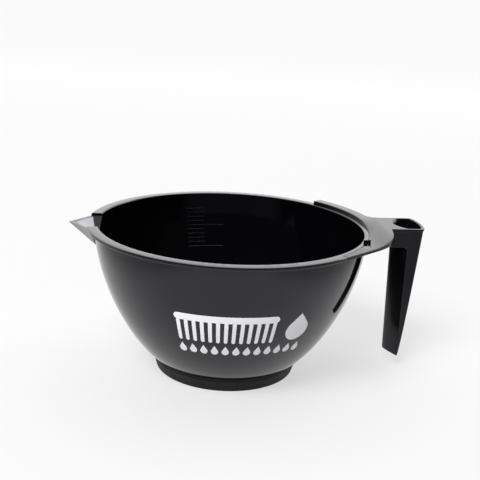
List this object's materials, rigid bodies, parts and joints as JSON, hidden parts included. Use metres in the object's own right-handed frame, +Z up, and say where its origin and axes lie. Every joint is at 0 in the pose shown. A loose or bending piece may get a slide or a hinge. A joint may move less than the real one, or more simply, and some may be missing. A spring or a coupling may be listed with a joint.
{
  "type": "hair color mixing bowl",
  "caption": "Round mixing bowl for hair color with a flat rim, V-shaped pouring beak, inside graduation lines, side handle with a hollow grip, and a rubber ring on its foot.",
  "frame": {"origin": "middle of the footprint, at the height of the table the bowl stands on", "axes": "+X from the bowl toward its handle, -X toward the pouring beak, which points 3.8 degrees off it, +Z up"},
  "size_m": [0.1624, 0.13, 0.0696],
  "materials": {
    "gloss_black_plastic": "polished, moulded",
    "satin_black_plastic": "satin, moulded",
    "black_rubber": "matt"
  },
  "bodies": {
    "root": {"bowl_shell": "gloss_black_plastic", "handle": "satin_black_plastic", "non_slip_ring": "black_rubber"}
  },
  "joints": []
}
